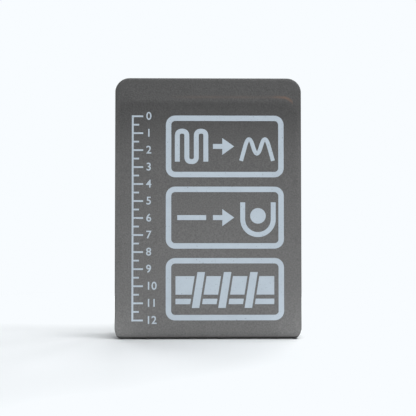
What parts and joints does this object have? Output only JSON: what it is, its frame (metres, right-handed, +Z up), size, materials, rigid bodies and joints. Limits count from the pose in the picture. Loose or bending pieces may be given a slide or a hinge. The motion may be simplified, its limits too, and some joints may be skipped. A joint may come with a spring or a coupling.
{
  "type": "aluminium foam splint",
  "caption": "Flat-folded padded splint: a strip of soft aluminium sheet between two foam layers, folded in a zigzag and standing on its folds.",
  "frame": {"origin": "on the floor under the middle of the folded stack, where it stands on its lower folds", "axes": "+X across the strip, to the right of someone who looks at the printed front; +Y from the printed front to the back; +Z up"},
  "size_m": [0.11, 0.0318, 0.1542],
  "materials": {
    "printed_foam": "matt closed-cell foam",
    "plain_foam": "matt closed-cell foam",
    "soft_aluminium": "rolled",
    "print_ink": "matt ink"
  },
  "bodies": {
    "root": {"foam_face": "printed_foam", "aluminium_core": "soft_aluminium", "foam_back": "plain_foam"}
  },
  "joints": []
}
